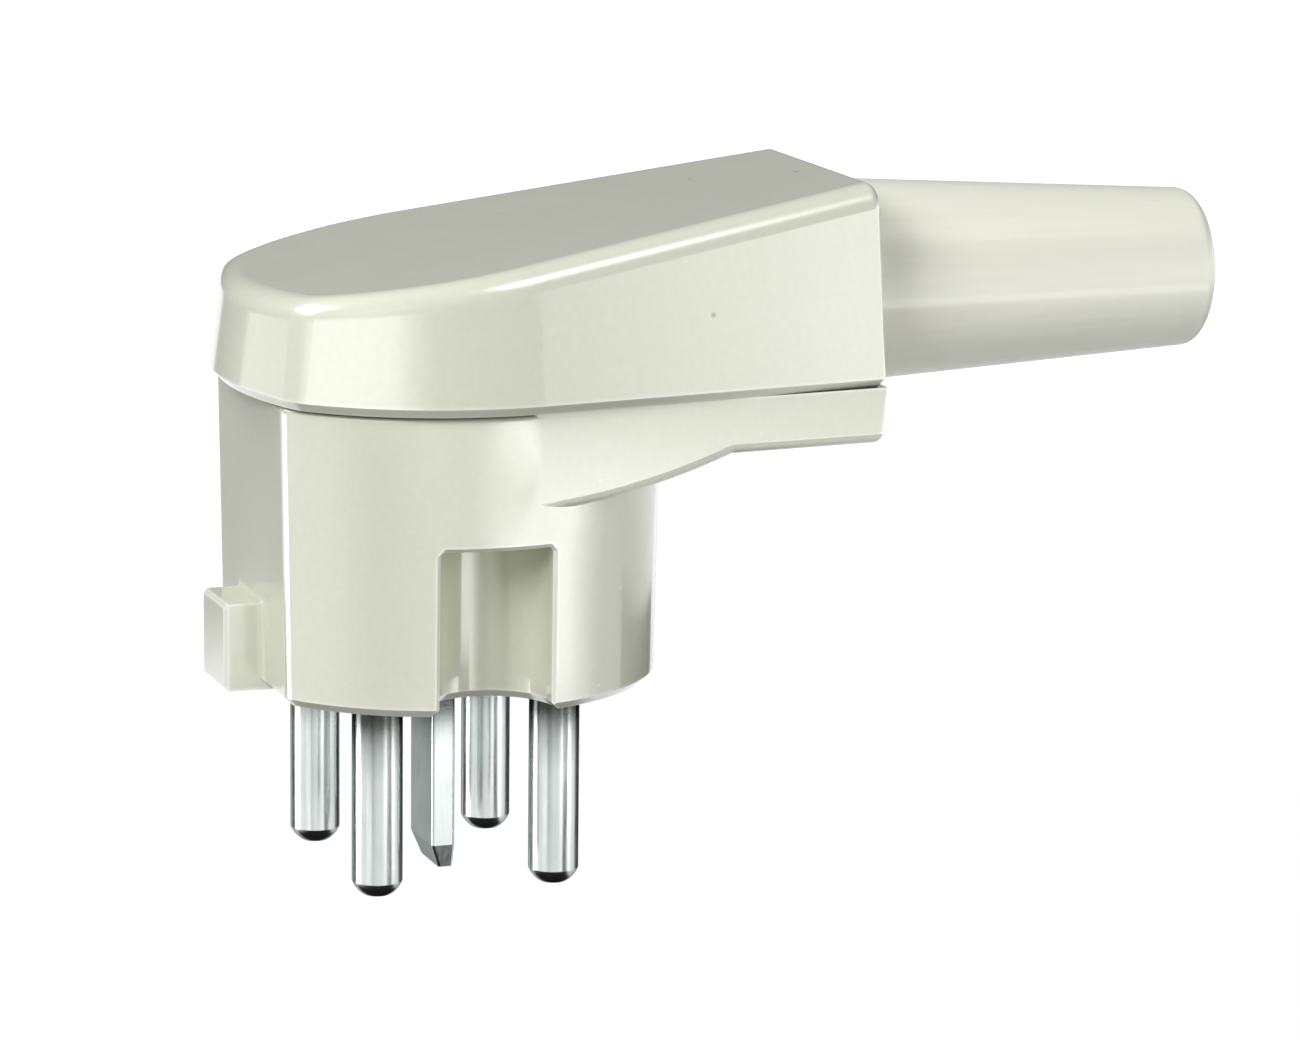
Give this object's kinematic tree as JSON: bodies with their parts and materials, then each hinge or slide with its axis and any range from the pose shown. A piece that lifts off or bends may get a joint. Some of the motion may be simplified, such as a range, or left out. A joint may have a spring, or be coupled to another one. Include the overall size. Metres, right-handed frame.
{
  "type": "angled three-phase plug",
  "caption": "Side-entry three-phase mains plug with a keyed round collar, plated contact pins, a flat earth blade, a wedge-shaped cover and a tapered cable sleeve.",
  "frame": {"origin": "centre of the collar's pin face, in the middle of the round contact pins", "axes": "+Z away from the pins, +X towards the cable, Y across the plug, which is the same on both sides of the XZ plane"},
  "size_m": [0.1035, 0.0486, 0.0688],
  "materials": {
    "housing": "polished moulded",
    "sleeve": "smooth",
    "contacts": "bright nickel plated",
    "screws": "zinc plated",
    "brass_parts": "turned",
    "carrier": "pressed phenolic"
  },
  "bodies": {
    "root": {"base_housing": "housing", "cover": "housing", "cable_sleeve": "sleeve", "contact_carrier": "carrier", "phase_pin_1": "contacts", "phase_pin_2": "contacts", "phase_pin_3": "contacts", "neutral_pin": "contacts", "earth_blade": "contacts", "terminal_screws": "screws", "earth_terminal_screw": "screws", "wire_guards": "brass_parts", "earth_wire_guard": "brass_parts", "carrier_screws": "screws", "clamp_saddle": "carrier", "clamp_screws": "screws", "clamp_washers": "screws", "clamp_bushes": "brass_parts", "cover_screw_long": "screws", "cover_screws_short": "screws", "cover_bushes": "brass_parts"}
  },
  "joints": []
}
